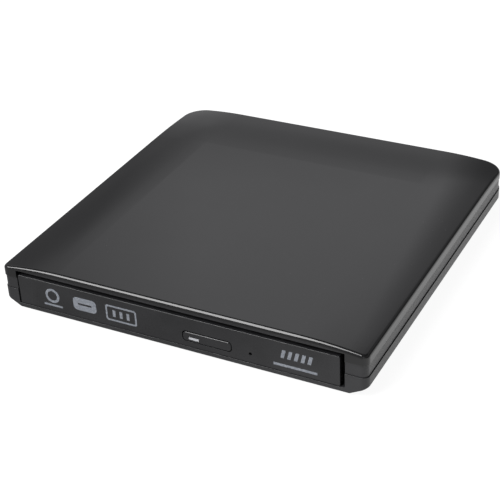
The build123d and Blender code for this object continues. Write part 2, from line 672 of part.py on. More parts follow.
with BuildPart(DRIVE) as tray:
    block((-TRAY_HALF, TRAY_HALF), (TRAY_FRONT, TRAY_BACK), (TRAY_BOTTOM, TRAY_TOP))
    fillet(tray.edges().filter_by(Axis.Z).group_by(Axis.Y)[-1], radius=4.0)
    inner_x = (TRAY_WALL - TRAY_HALF, TRAY_HALF - TRAY_WALL)
    inner_y = (TRAY_FRONT + TRAY_WALL, TRAY_BACK - TRAY_WALL)
    block(inner_x, inner_y, (0, DECK_UNDER), Mode.SUBTRACT)
    # Recesses for a full-size and a small disc
    post(0, HUB_Y, (DISC_FLOOR, CROWN), DISC_RADIUS + 0.5, Mode.SUBTRACT)
    post(0, HUB_Y, (SMALL_DISC_FLOOR, CROWN), SMALL_DISC_RADIUS + 0.5, Mode.SUBTRACT)
    # Finger dips in the rim at the two front corners
    for side in (-1, 1):
        post(side * 38.0, TRAY_FRONT + 15.0, (DISC_FLOOR, CROWN), 11.0, Mode.SUBTRACT)
    # Opening for the plate round the spindle
    with BuildSketch(Plane.XY):
        add(deck_outline(0.5))
    extrude(amount=CROWN, mode=Mode.SUBTRACT)
    # Ribs that run in the rails
    rib_z = (RAIL_MIDDLE - RIB_HALF, RAIL_MIDDLE + RIB_HALF)
    for side in (-1, 1):
        rib = mirrored(side, TRAY_HALF - 0.5, RAIL_INNER + RIB_REACH)
        block(rib, (TRAY_FRONT + 2, TRAY_BACK - 5), rib_z)
    # Posts under the deck for the dampers, the boards and the shield
    for u, v in DAMPER_SPOTS:
        spot = DRIVE.to_local_coords(SLED.from_local_coords(Vector(u, v, 0)))
        post(spot.X, spot.Y, (DECK_UNDER - 2.4, DECK_UNDER + 0.2), 1.4)
    for x, y in BOARD_POSTS:
        post(x, y, (TRAY_BOTTOM + 0.95, DECK_UNDER + 0.2), 1.8)
        post(x, y, (TRAY_BOTTOM, DECK_UNDER - 1), 0.8, Mode.SUBTRACT)
    for x, y in SHIELD_SPOTS:
        post(x, y, (TRAY_BOTTOM, DECK_UNDER + 0.2), 2.0)
        post(x, y, (TRAY_BOTTOM, DECK_UNDER - 1), 0.9, Mode.SUBTRACT)
    # Room for the connector board and for the fixed latch pin as the tray leaves
    block(NOTCH_X, (NOTCH_Y, DRIVE_BACK), (0, DECK_UNDER - 0.4), Mode.SUBTRACT)
    block(LATCH_SLOT, (LATCH_POST[1] - 2, DRIVE_BACK), (0, DECK_UNDER - 0.4), Mode.SUBTRACT)
    with Locations(Location((PLUNGER_X, TRAY_BACK + 1, PLUNGER_Z), (90, 0, 0))):
        Cylinder(PLUNGER_RADIUS + 0.15, 4, align=FROM_END, mode=Mode.SUBTRACT)
    # Slots in the front wall for the bezel's clips, the button's stem and the emergency release
    front_wall = (TRAY_FRONT - 1, TRAY_FRONT + 2)
    for x in CLIP_X:
        clip_room = (x - CLIP_HALF - 0.2, x + CLIP_HALF + 0.2)
        block(clip_room, front_wall, (CLIP_Z[0] - 0.2, CLIP_Z[1] + 0.2), Mode.SUBTRACT)
    block(BUTTON_X, front_wall, BUTTON_Z, Mode.SUBTRACT)
    block((PINHOLE_X - 1, PINHOLE_X + 1), front_wall, (PINHOLE_Z - 1, PINHOLE_Z + 1), Mode.SUBTRACT)

# Sheet-steel shield screwed under the tray
with BuildPart(DRIVE) as tray_shield:
    shield_z = (SHIELD_BOTTOM, SHIELD_BOTTOM + SHIELD_THICK)
    block((0.5 - TRAY_HALF, TRAY_HALF - 0.5), (TRAY_FRONT + 1, TRAY_BACK - 0.5), shield_z)
    fillet(tray_shield.edges().filter_by(Axis.Z).group_by(Axis.Y)[-1], radius=4.0)
    block(NOTCH_X, (NOTCH_Y, DRIVE_BACK), shield_z, Mode.SUBTRACT)
    block(LATCH_SLOT, (LATCH_POST[1] - 2, DRIVE_BACK), shield_z, Mode.SUBTRACT)
    for x, y in SHIELD_SPOTS:
        post(x, y, shield_z, 1.0, Mode.SUBTRACT)

with BuildPart(DRIVE) as shield_screws:
    for x, y in SHIELD_SPOTS:
        screw(x, y, TRAY_BOTTOM + 3.5, SHIELD_BOTTOM - CONTACT, 0.8, 1.6, 0.3, up=-1)

# Main board at the back left of the tray, with its chips
MAIN_BOARD_Z = (TRAY_BOTTOM + 0.1, TRAY_BOTTOM + 0.9)
MAIN_CHIPS = ((-30.0, 36.0, 12.0, 1.2), (-45.0, 42.0, 5.0, 1.0), (4.0, 36.0, 8.0, 1.0))
with BuildPart(DRIVE) as main_board:
    block((-57.0, 32.0), (26.0, TRAY_BACK - TRAY_WALL - 1), MAIN_BOARD_Z)
    block((-57.0, -36.0), (14.5, 26.0), MAIN_BOARD_Z)
    block((NOTCH_X[0] - 0.5, NOTCH_X[1] + 0.5), (NOTCH_Y - 0.5, DRIVE_BACK), MAIN_BOARD_Z, Mode.SUBTRACT)
    for x, y in BOARD_POSTS:
        post(x, y, MAIN_BOARD_Z, 0.9, Mode.SUBTRACT)

with BuildPart(DRIVE) as main_board_chips:
    for x, y, size, height in MAIN_CHIPS:
        chip(x, y, size, size, (MAIN_BOARD_Z[1] + CONTACT, MAIN_BOARD_Z[1] + height))

# Small board at the front that carries the lamp and the push switch
SWITCH_BOARD_Z = (TRAY_BOTTOM + 0.1, TRAY_BOTTOM + 0.7)
SWITCH_X = 14.5
with BuildPart(DRIVE) as switch_board:
    block((-8.0, 19.0), (TRAY_FRONT + TRAY_WALL + 0.3, TRAY_FRONT + 10.0), SWITCH_BOARD_Z)
    # Status lamp, soldered on behind the window of the button
    lamp_x = (LAMP_X[0] + 0.8, LAMP_X[0] + 2.8)
    block(lamp_x, (TRAY_FRONT + 4.0, TRAY_FRONT + 6.0), (SWITCH_BOARD_Z[1], SWITCH_BOARD_Z[1] + 1.2))

with BuildPart(DRIVE) as eject_switch:
    face = TRAY_FRONT + 3.6
    board_top = SWITCH_BOARD_Z[1]
    block((SWITCH_X - 3, SWITCH_X + 3), (face, face + 3.5), (board_top + CONTACT, board_top + 3.2))
    block((SWITCH_X - 1, SWITCH_X + 1), (face - 0.8, face), (board_top + 1.0, board_top + 2.2))

# ------------------------------------------------------------ bezel and button

PINHOLE_RADIUS = 0.62
BUTTON_SLIT = 0.28  # gap below and beside the button
BUTTON_SLIT_ABOVE = 0.5
BUTTON_PROUD = 0.1  # how far the button stands out from the bezel
BUTTON_EDGE = 0.35

with BuildPart(DRIVE) as bezel:
    block((-BEZEL_WIDTH / 2, BEZEL_WIDTH / 2), (BEZEL_FACE, BEZEL_BACK), BEZEL_Z)
    fillet(bezel.edges().filter_by(Axis.Y), radius=0.5)
    fillet(bezel.faces().sort_by(Axis.Y)[0].edges(), radius=0.15)
    # Hollow back
    hollow_x = (2 - BEZEL_WIDTH / 2, BEZEL_WIDTH / 2 - 2)
    hollow_z = (BEZEL_Z[0] + BEZEL_FLANGE, BEZEL_Z[1] - BEZEL_FLANGE)
    block(hollow_x, (BEZEL_FACE + BEZEL_SKIN, BEZEL_BACK), hollow_z, Mode.SUBTRACT)
    with BuildSketch(DRIVE * Plane.XZ.offset(-BEZEL_BACK)):
        with Locations(BUTTON_MIDDLE):
            RectangleRounded(BUTTON_X[1] - BUTTON_X[0], BUTTON_Z[1] - BUTTON_Z[0], BUTTON_ROUND)
        with Locations((PINHOLE_X, PINHOLE_Z)):
            Circle(PINHOLE_RADIUS)
    extrude(amount=BEZEL_THICK + 1, mode=Mode.SUBTRACT)
    # Clips that reach through the front wall of the tray and hook behind it
    for x in CLIP_X:
        clip = (x - CLIP_HALF, x + CLIP_HALF)
        hook_start = TRAY_FRONT + TRAY_WALL + 0.2
        block(clip, (FRONT + 1.5, hook_start), CLIP_Z)
        block(clip, (hook_start, TRAY_FRONT + 3), (CLIP_Z[0] - 0.6, CLIP_Z[1]))

with BuildPart(DRIVE) as eject_button:
    cap_width = BUTTON_X[1] - BUTTON_X[0] - 2 * BUTTON_SLIT
    cap_height = BUTTON_Z[1] - BUTTON_Z[0] - BUTTON_SLIT - BUTTON_SLIT_ABOVE
    cap_z = BUTTON_Z[0] + BUTTON_SLIT + cap_height / 2
    cap_back = BEZEL_FACE + BEZEL_SKIN + 0.6
    with BuildSketch(DRIVE * Plane.XZ.offset(-cap_back)):
        with Locations((BUTTON_MIDDLE[0], cap_z)):
            RectangleRounded(cap_width, cap_height, BUTTON_ROUND - BUTTON_SLIT)
    extrude(amount=cap_back - BEZEL_FACE + BUTTON_PROUD)
    fillet(eject_button.faces().sort_by(Axis.Y)[0].edges(), radius=BUTTON_EDGE)
    # Stem towards the switch
    stem_z = (BUTTON_Z[0] + 0.9, BUTTON_Z[0] + 3.0)
    block((SWITCH_X - 1.2, SWITCH_X + 1.2), (FRONT + 2, TRAY_FRONT + 1.9), stem_z)
    block(LAMP_X, (FRONT - 1, FRONT + 5), LAMP_Z, Mode.SUBTRACT)

with BuildPart(DRIVE) as led_window:
    window_x = (LAMP_X[0] + SNUG, LAMP_X[1] - SNUG)
    block(window_x, (FRONT + 0.16, FRONT + 2.4), (LAMP_Z[0] + SNUG, LAMP_Z[1] - SNUG))

# ------------------------------------------------------------ traverse: rods, motors, pickup

ROD_V = 14.0
ROD_RADIUS = 1.4
ROD_Z = TRAY_BOTTOM + 2.1
FRAME_Z = (TRAY_BOTTOM + 4.4, TRAY_BOTTOM + 5.2)
FRAME_END = 66.6
SCREW_V = -19.5
SCREW_RADIUS = 1.1
SCREW_END = 61.5
SCREW_PITCH = 3.0
ROTOR_RADIUS = 12.3
SLED_HALF = 7.0
SLED_SIDE = 16.5
SLED_Z = (TRAY_BOTTOM + 0.3, TRAY_BOTTOM + 3.9)
ROD_ENDS = (11.8, 66.1)
ROD_SEATS = ((11.4, 13.6), (65.3, FRAME_END - 0.2))
SLED_SLOT = (8.0, 64.8)  # the opening in the frame along the pickup's path
MOTOR_U = (1.5, 12.8)
MOTOR_RADIUS = 2.0

with BuildPart(SLED) as traverse_frame:
    with BuildSketch(SLED.offset(FRAME_Z[0])):
        Circle(22.0)
        with BuildLine():
            Polyline(
                (0, -22.5),
                (46, -22.5),
                (FRAME_END, -15.0),
                (FRAME_END, 15.0),
                (46, 22.5),
                (0, 22.5),
                close=True,
            )
        make_face()
        for u, v in DAMPER_SPOTS:
            with Locations((u, v)):
                Circle(3.8)
        Circle(15.4, mode=Mode.SUBTRACT)
        with Locations(((SLED_SLOT[0] + SLED_SLOT[1]) / 2, 0)):
            Rectangle(SLED_SLOT[1] - SLED_SLOT[0], 19.0, mode=Mode.SUBTRACT)
        for u, v in DAMPER_SPOTS:
            with Locations((u, v)):
                Circle(2.4, mode=Mode.SUBTRACT)
    extrude(amount=FRAME_Z[1] - FRAME_Z[0])
    # Seats that hold the ends of the guide rods
    for v in (-ROD_V, ROD_V):
        for u in ROD_SEATS:
            block(u, (v - 1.9, v + 1.9), (ROD_Z - 1.8, FRAME_Z[0] + 0.1))
        rod((ROD_ENDS[0] - SNUG, ROD_ENDS[1] + SNUG), v, ROD_Z, ROD_RADIUS + 0.03, Mode.SUBTRACT)

with BuildPart(SLED) as guide_rods:
    for v in (-ROD_V, ROD_V):
        rod(ROD_ENDS, v, ROD_Z, ROD_RADIUS)

# Waisted rubber rings between the frame and the posts under the deck
with BuildPart(SLED) as dampers:
    for u, v in DAMPER_SPOTS:
        post(u, v, (FRAME_Z[0] - 0.6, FRAME_Z[0] - 0.1), 3.3)
        post(u, v, (FRAME_Z[0] - 0.5, FRAME_Z[1] + 0.3), 2.3)
        post(u, v, (FRAME_Z[1] + 0.1, FRAME_Z[1] + 0.4), 3.3)
        post(u, v, (0, DISC_FLOOR), 1.5, Mode.SUBTRACT)

# Metal plate that closes the tray's middle, with the window for the lens
with BuildPart(SLED) as deck_cover:
    cover_z = (DECK_UNDER + SNUG, DECK_UNDER + 0.45)
    with BuildSketch(Plane.XY.offset(cover_z[0])):
        add(deck_outline(0))
    extrude(amount=cover_z[1] - cover_z[0])
    post(0, 0, (0, CROWN), 15.6, Mode.SUBTRACT)
    block((10.0, 65.2), (-WINDOW_HALF, WINDOW_HALF), (0, CROWN), Mode.SUBTRACT)

# Sled motor: a can with an L-shaped bracket that reaches to the far end of its screw
with BuildPart(SLED) as sled_motor:
    rod(MOTOR_U, SCREW_V, ROD_Z, MOTOR_RADIUS)
    bracket_v = (SCREW_V - 1.4, SCREW_V + 1.4)
    bracket_z = (TRAY_BOTTOM + SNUG, TRAY_BOTTOM + 0.5)
    block((MOTOR_U[1] - 2, SCREW_END + 1.2), bracket_v, bracket_z)
    block((SCREW_END + 0.4, SCREW_END + 1.2), bracket_v, (bracket_z[0], ROD_Z + 1.5))

with BuildPart(SLED) as lead_screw:
    start = MOTOR_U[1] + 0.2
    rod((start, SCREW_END), SCREW_V, ROD_Z, SCREW_RADIUS)
    # Flutes of the coarse thread, shown as rings
    turns = int((SCREW_END - start - 6) / SCREW_PITCH)
    for turn in range(turns):
        with Locations(Location((start + 4 + turn * SCREW_PITCH, SCREW_V, ROD_Z), (0, 90, 0))):
            Torus(SCREW_RADIUS + 0.1, 0.35, mode=Mode.SUBTRACT)

with BuildPart(SLED) as pickup_sled:
    block((LENS_START - SLED_HALF, LENS_START + SLED_HALF), (-SLED_SIDE, SLED_SIDE), SLED_Z)
    chamfer(pickup_sled.edges().filter_by(Axis.Z), length=1.5)
    # Arm with the nut that the screw drives
    block((LENS_START - 3, LENS_START + 3), (SCREW_V - 1.9, -SLED_SIDE), (ROD_Z - 1.45, ROD_Z + 1.6))
    rod((LENS_START - 5, LENS_START + 15), SCREW_V, ROD_Z, SCREW_RADIUS + 0.15, Mode.SUBTRACT)
    block((LENS_START - 6.3, LENS_START + 6.3), (-8.0, 8.0), (SLED_Z[1], SLED_Z[1] + 0.8))
    for v in (-ROD_V, ROD_V):
        rod((0, FRAME_END), v, ROD_Z, ROD_RADIUS + 0.08, Mode.SUBTRACT)

# Focus actuator: two magnets on the sled with the lens carrier floating between them
ACTUATOR_Z = SLED_Z[1] + 0.85
with BuildPart(SLED) as actuator_magnets:
    for side in (-1, 1):
        magnet = mirrored(side, 5.7, 7.3)
        block((LENS_START - 3.2, LENS_START + 3.2), magnet, (ACTUATOR_Z, ACTUATOR_Z + 1.7))

HOLDER_Z = (ACTUATOR_Z + 0.5, ACTUATOR_Z + 1.3)
with BuildPart(SLED) as lens_holder:
    block((LENS_START - 4.5, LENS_START + 4.5), (-5.2, 5.2), HOLDER_Z)
    fillet(lens_holder.edges().filter_by(Axis.Z), radius=1.5)
    post(LENS_START, 0, HOLDER_Z, 1.8, Mode.SUBTRACT)

with BuildPart() as objective_lens:
    lens_centre = SLED.from_local_coords(Vector(LENS_START, 0, 0))
    barrel_radius = 1.7
    lens_radius = 2.4
    barrel_low = HOLDER_Z[0] + 0.2
    brim_z = (HOLDER_Z[1] + CONTACT, HOLDER_Z[1] + 0.15)
    crown_z = brim_z[1] + 0.45
    with BuildSketch(Plane(lens_centre, x_dir=(1, 0, 0), z_dir=(0, -1, 0))):
        with BuildLine():
            Polyline(
                (0, crown_z),
                (0, barrel_low),
                (barrel_radius, barrel_low),
                (barrel_radius, brim_z[0]),
                (lens_radius, brim_z[0]),
                (lens_radius, brim_z[1]),
            )
            TangentArc((0, crown_z), (lens_radius, brim_z[1]), tangent=(1, 0))
        make_face()
    revolve(axis=Axis(lens_centre, (0, 0, 1)))

# ------------------------------------------------------------ spindle

BASE_Z = (TRAY_BOTTOM + SNUG, TRAY_BOTTOM + 0.45)
CUP_Z = (TRAY_BOTTOM + 0.8, TRAY_BOTTOM + 4.4)
TURNTABLE_Z = (DECK_UNDER - 0.2, DISC_FLOOR + 0.25)
DISC_UNDER = TURNTABLE_Z[1] + 0.4
HUB_RADIUS = DISC_BORE_RADIUS - 0.15
SHAFT_RADIUS = 1.5
CATCH_ANGLES = (0.0, 120.0, 240.0)
CATCH_Z = (DISC_UNDER + 0.1, DISC_UNDER + 1.2)
CATCH_HALF = 1.2
CATCH_REACH = HUB_RADIUS + 0.18
CATCH_ROOT = (4.4, 6.6)  # the straight part of a catch, from the hub's axis
POCKET_START = 3.4

BASE_LEGS = (100.0, 180.0, 250.0)  # directions of the legs, from the pickup's path
LEG_REACH = 17.5
with BuildPart(SLED) as spindle_base:
    post(0, 0, BASE_Z, 14.2)
    post(0, 0, (BASE_Z[0], TRAY_BOTTOM + 3.4), 3.0)
    for angle in BASE_LEGS:
        leg_u = LEG_REACH * cos(radians(angle))
        leg_v = LEG_REACH * sin(radians(angle))
        post(leg_u, leg_v, BASE_Z, 3.6)
        post(leg_u, leg_v, (BASE_Z[0], FRAME_Z[0] - CONTACT), 1.3)
    post(0, 0, (BASE_Z[0] + 0.3, DISC_FLOOR), SHAFT_RADIUS + SNUG, Mode.SUBTRACT)

STATOR_TEETH = 9
CORE_Z = (BASE_Z[1] + 0.9, BASE_Z[1] + 2.1)
CORE_MIDDLE = (CORE_Z[0] + CORE_Z[1]) / 2
CORE_HEIGHT = CORE_Z[1] - CORE_Z[0]
TOOTH_WIDTH = 1.6
COIL_RADIUS = 8.0  # from the axis to the middle of a winding

with BuildPart(HUB) as stator_core:
    post(0, 0, CORE_Z, 5.6)
    with PolarLocations(0, STATOR_TEETH):
        with Locations((7.5, 0, CORE_MIDDLE)):
            Box(5.0, TOOTH_WIDTH, CORE_HEIGHT)
        with Locations((10.4, 0, CORE_MIDDLE)):
            Box(0.9, 4.6, CORE_HEIGHT)
    post(0, 0, CORE_Z, 3.1, Mode.SUBTRACT)

with BuildPart(HUB) as stator_coils:
    for size, mode in (
        ((2.8, 3.0, 2 * CORE_HEIGHT), Mode.ADD),
        ((4.0, TOOTH_WIDTH + 0.1, CORE_HEIGHT + 0.1), Mode.SUBTRACT),
    ):
        with PolarLocations(0, STATOR_TEETH):
            with Locations((COIL_RADIUS, 0, CORE_MIDDLE)):
                Box(*size, mode=mode)

with BuildPart(HUB) as rotor:
    post(0, 0, CUP_Z, ROTOR_RADIUS)
    post(0, 0, (CUP_Z[0], CUP_Z[1] - 0.6), ROTOR_RADIUS - 0.8, Mode.SUBTRACT)
    post(0, 0, CUP_Z, SHAFT_RADIUS + 0.03, Mode.SUBTRACT)
    fillet(rotor.edges().group_by(Axis.Z)[-1].sort_by(SortBy.LENGTH)[-1], radius=0.4)

with BuildPart(HUB) as spindle_shaft:
    post(0, 0, (BASE_Z[0] + 0.4, TURNTABLE_Z[1] - 0.1), SHAFT_RADIUS)

with BuildPart(HUB) as turntable:
    post(0, 0, TURNTABLE_Z, 14.3)
    post(0, 0, (CUP_Z[1] + 0.05, TURNTABLE_Z[0] + 0.1), 5.0)
    post(0, 0, (CUP_Z[1], TURNTABLE_Z[1]), SHAFT_RADIUS + 0.03, Mode.SUBTRACT)

with BuildPart(HUB) as turntable_pad:
    post(0, 0, (TURNTABLE_Z[1] + CONTACT, DISC_UNDER), 14.2)
    post(0, 0, (TURNTABLE_Z[1], DISC_UNDER), 11.0, Mode.SUBTRACT)

with BuildPart(HUB) as disc_hub:
    hub_top = DISC_UNDER + 1.9
    post(0, 0, (TURNTABLE_Z[1] + CONTACT, hub_top), HUB_RADIUS)
    chamfer(disc_hub.edges().group_by(Axis.Z)[-1], length=0.5, length2=0.9)
    post(0, 0, (hub_top - 0.3, hub_top), 2.2, Mode.SUBTRACT)
    # Pockets for the catches, open at the rim
    for angle in CATCH_ANGLES:
        with Locations(Location((0, 0, (CATCH_Z[0] + CATCH_Z[1]) / 2), (0, 0, angle))):
            with Locations((POCKET_START + HUB_RADIUS / 2, 0, 0)):
                Box(HUB_RADIUS, 2 * CATCH_HALF + 0.3, CATCH_Z[1] - CATCH_Z[0] + 0.2, mode=Mode.SUBTRACT)


def disc_catch(angle):
    """One of the sprung noses that hold the disc on the hub; it slides towards the axis."""
    with BuildPart(HUB) as nose:
        with BuildSketch(HUB.offset(CATCH_Z[0]) * Rot(0, 0, angle)):
            near, far = CATCH_ROOT
            with BuildLine():
                Polyline((far, CATCH_HALF), (near, CATCH_HALF), (near, -CATCH_HALF), (far, -CATCH_HALF))
                ThreePointArc((far, -CATCH_HALF), (CATCH_REACH, 0), (far, CATCH_HALF))
            make_face()
        extrude(amount=CATCH_Z[1] - CATCH_Z[0])
    return nose.part


with BuildPart() as disc_catch_1:
    add(disc_catch(CATCH_ANGLES[0]))
with BuildPart() as disc_catch_2:
    add(disc_catch(CATCH_ANGLES[1]))
with BuildPart() as disc_catch_3:
    add(disc_catch(CATCH_ANGLES[2]))

# ------------------------------------------------------------ latch and kick-out

LATCH_Z = (TRAY_BOTTOM + 0.9, TRAY_BOTTOM + 2.1)
PIN_RADIUS = 1.0
with BuildPart(DRIVE) as latch_pin:
    pin_low = SHIELD_BOTTOM + SHIELD_THICK + CONTACT
    post(*LATCH_PIVOT, (pin_low, LATCH_Z[0] - 0.1), 1.8)
    post(*LATCH_PIVOT, (pin_low, DECK_UNDER - 0.1), PIN_RADIUS)

with BuildPart(DRIVE) as latch_lever:
    hook_low = LATCH_POST[1] + 2.6
    with BuildSketch(DRIVE.offset(LATCH_Z[0])):
        with Locations(LATCH_PIVOT):
            Circle(2.3)
        with BuildLine():
            Polyline(
                (LATCH_PIVOT[0] - 1.2, LATCH_PIVOT[1]),
                (LATCH_PIVOT[0] + 1.2, LATCH_PIVOT[1]),
                (LATCH_PIVOT[0] + 0.2, hook_low),
                (LATCH_SLOT[0] - 0.1, hook_low),
                (LATCH_SLOT[0] - 0.9, hook_low + 1.4),
                (LATCH_PIVOT[0] - 2.0, hook_low + 1.4),
                close=True,
            )
        make_face()
        with Locations(LATCH_PIVOT):
            Circle(PIN_RADIUS + 0.1, mode=Mode.SUBTRACT)
    extrude(amount=LATCH_Z[1] - LATCH_Z[0])

with BuildPart(DRIVE) as latch_magnet:
    block((34.5, 41.5), (38.0, 49.0), (TRAY_BOTTOM + 0.1, TRAY_BOTTOM + 4.4))
    fillet(latch_magnet.edges().filter_by(Axis.Z), radius=0.8)

# Sprung plunger that pushes the tray out when the latch lets go
with BuildPart(DRIVE) as kick_plunger:
    with Locations(Location((PLUNGER_X, TRAY_BACK + 0.9, PLUNGER_Z), (90, 0, 0))):
        Cylinder(PLUNGER_RADIUS, 16.0, align=FROM_END)

# ------------------------------------------------------------ output

PIECES = {
    "lid": lid,
    "upper_frame": upper_frame,
    "base_cover": base_cover,
    "rubber_feet": rubber_feet,
    "case_screws": case_screws,
    "drive_screws": drive_screws,
    "foam_pads": foam_pads,
    "bridge_board": bridge_board,
    "board_screws": board_screws,
    "bridge_chips": bridge_chips,
    "usb_port": usb_port,
    "usb_tongue": usb_tongue,
    "dc_jack": dc_jack,
    "sata_receptacle": sata_receptacle,
    "chassis_bottom": chassis_bottom,
    "chassis_top": chassis_top,
    "chassis_screws": chassis_screws,
    "guide_left": guide_left,
    "guide_right": guide_right,
    "rail_left": rail_left,
    "rail_right": rail_right,
    "connector_board": connector_board,
    "sata_plug": sata_plug,
    "latch_post": latch_post,
    "flex_cable": flex_cable,
    "tray": tray,
    "tray_shield": tray_shield,
    "shield_screws": shield_screws,
    "main_board": main_board,
    "main_board_chips": main_board_chips,
    "switch_board": switch_board,
    "eject_switch": eject_switch,
    "bezel": bezel,
    "eject_button": eject_button,
    "led_window": led_window,
    "traverse_frame": traverse_frame,
    "guide_rods": guide_rods,
    "dampers": dampers,
    "deck_cover": deck_cover,
    "sled_motor": sled_motor,
    "lead_screw": lead_screw,
    "pickup_sled": pickup_sled,
    "actuator_magnets": actuator_magnets,
    "lens_holder": lens_holder,
    "objective_lens": objective_lens,
    "spindle_base": spindle_base,
    "stator_core": stator_core,
    "stator_coils": stator_coils,
    "rotor": rotor,
    "spindle_shaft": spindle_shaft,
    "turntable": turntable,
    "turntable_pad": turntable_pad,
    "disc_hub": disc_hub,
    "disc_catch_1": disc_catch_1,
    "disc_catch_2": disc_catch_2,
    "disc_catch_3": disc_catch_3,
    "latch_lever": latch_lever,
    "latch_pin": latch_pin,
    "latch_magnet": latch_magnet,
    "kick_plunger": kick_plunger,
}

for name, piece in PIECES.items():
    piece.part.label = name
    export_step(piece.part, f"parts/{name}.step")
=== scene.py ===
import json
from math import cos, pi, radians, sin

import bpy
from mathutils import Matrix, Vector


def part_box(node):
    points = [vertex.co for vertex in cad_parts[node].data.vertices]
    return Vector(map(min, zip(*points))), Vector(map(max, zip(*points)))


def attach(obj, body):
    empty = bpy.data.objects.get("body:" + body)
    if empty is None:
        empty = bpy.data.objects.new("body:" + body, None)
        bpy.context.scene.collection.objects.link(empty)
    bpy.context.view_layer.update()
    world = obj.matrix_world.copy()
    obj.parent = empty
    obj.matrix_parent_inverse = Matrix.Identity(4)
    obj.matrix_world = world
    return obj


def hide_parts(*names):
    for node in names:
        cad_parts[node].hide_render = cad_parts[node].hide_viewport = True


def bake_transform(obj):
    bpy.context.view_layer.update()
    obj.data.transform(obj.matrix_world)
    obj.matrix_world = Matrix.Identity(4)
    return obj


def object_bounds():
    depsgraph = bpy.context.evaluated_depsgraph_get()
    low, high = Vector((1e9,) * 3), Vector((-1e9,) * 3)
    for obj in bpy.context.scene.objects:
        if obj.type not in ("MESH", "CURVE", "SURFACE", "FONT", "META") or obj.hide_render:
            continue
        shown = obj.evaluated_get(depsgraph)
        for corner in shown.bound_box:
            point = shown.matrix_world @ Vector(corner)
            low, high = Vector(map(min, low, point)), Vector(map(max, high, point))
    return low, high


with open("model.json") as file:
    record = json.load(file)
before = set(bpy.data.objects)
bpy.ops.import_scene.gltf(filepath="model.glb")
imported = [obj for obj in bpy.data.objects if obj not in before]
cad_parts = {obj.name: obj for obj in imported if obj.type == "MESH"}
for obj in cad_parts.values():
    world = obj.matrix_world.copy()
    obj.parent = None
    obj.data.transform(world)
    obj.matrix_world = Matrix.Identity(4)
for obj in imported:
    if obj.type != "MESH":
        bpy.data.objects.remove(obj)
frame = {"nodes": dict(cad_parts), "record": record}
cad_low, cad_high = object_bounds()

MM = 0.001


# ------------------------------------------------------------ building blocks for materials


def make_node(owner, kind, settings=None, inputs=None):
    """A shader node in a material or world, with its options set and its inputs filled or linked."""
    node = owner.node_tree.nodes.new("ShaderNode" + kind)
    for name, value in (settings or {}).items():
        setattr(node, name, value)
    for name, value in (inputs or {}).items():
        if isinstance(value, bpy.types.NodeSocket):
            owner.node_tree.links.new(value, node.inputs[name])
        else:
            node.inputs[name].default_value = value
    return node


def new_look(name, colour, roughness, metallic=0.0):
    """A material whose principled shader starts from one colour, roughness and metallic value."""
    look = bpy.data.materials.new(name)
    look.use_nodes = True
    shader = look.node_tree.nodes["Principled BSDF"]
    shader.inputs["Base Color"].default_value = (*colour, 1)
    shader.inputs["Roughness"].default_value = roughness
    shader.inputs["Metallic"].default_value = metallic
    return look


def set_input(look, name, value):
    """Links or sets an input of the look's principled shader."""
    socket = look.node_tree.nodes["Principled BSDF"].inputs[name]
    if isinstance(value, bpy.types.NodeSocket):
        look.node_tree.links.new(value, socket)
    else:
        socket.default_value = value


def place(look, stretch=(1, 1, 1), turn=0.0):
    """Coordinates in the object's own metres: a pattern keeps its true size and moves with its piece."""
    coordinates = make_node(look, "TexCoord").outputs["Object"]
    inputs = {"Vector": coordinates, "Scale": stretch, "Rotation": (0, 0, turn)}
    return make_node(look, "Mapping", inputs=inputs).outputs["Vector"]


def noise(look, size, detail=2.0, stretch=(1, 1, 1), turn=0.0):
    """A soft random pattern whose features are about `size` metres across."""
    inputs = {"Vector": place(look, stretch, turn), "Scale": 1 / size, "Detail": detail}
    return make_node(look, "TexNoise", inputs=inputs).outputs["Fac"]


def cells(look, size):
    """Distance to the nearest of scattered points about `size` metres apart."""
    inputs = {"Vector": place(look), "Scale": 1 / size}
    return make_node(look, "TexVoronoi", inputs=inputs).outputs["Distance"]


def remap(look, value, start, end, low=0.0, high=1.0):
    """`value` stretched so that start..end becomes low..high."""
    inputs = {"Value": value, "From Min": start, "From Max": end, "To Min": low, "To Max": high}
    return make_node(look, "MapRange", inputs=inputs).outputs["Result"]


def blend_colours(look, share, first, second):
    """`first` where share is 0, turning to `second` where it is 1."""
    inputs = {"Fac": share}
    for name, colour in (("Color1", first), ("Color2", second)):
        inputs[name] = colour if isinstance(colour, bpy.types.NodeSocket) else (*colour, 1)
    return make_node(look, "MixRGB", inputs=inputs).outputs["Color"]


def combine(look, operation, first, second):
    """The result of a maths operation on two values."""
    node = make_node(look, "Math", {"operation": operation})
    for socket, value in zip(node.inputs, (first, second)):
        if isinstance(value, bpy.types.NodeSocket):
            look.node_tree.links.new(value, socket)
        else:
            socket.default_value = value
    return node.outputs["Value"]


def relief(look, height, depth, edge=0.0):
    """Raises the surface by up to `depth` metres where height is 1. Rounds its edges by `edge` metres."""
    inputs = {"Height": height, "Distance": depth, "Strength": 1.0}
    if edge:
        inputs["Normal"] = make_node(look, "Bevel", {"samples": 4}, {"Radius": edge}).outputs["Normal"]
    set_input(look, "Normal", make_node(look, "Bump", inputs=inputs).outputs["Normal"])


def dusted(look, colour, dust, amount):
    """Sparse pale specks of dust over the colour."""
    specks = remap(look, cells(look, 2.6 * MM), 0.075, 0.045)
    patches = remap(look, noise(look, 30 * MM), 0.45, 0.75)
    share = combine(look, "MULTIPLY", specks, combine(look, "MULTIPLY", patches, amount))
    return blend_colours(look, share, colour, dust)


# ------------------------------------------------------------ plastics


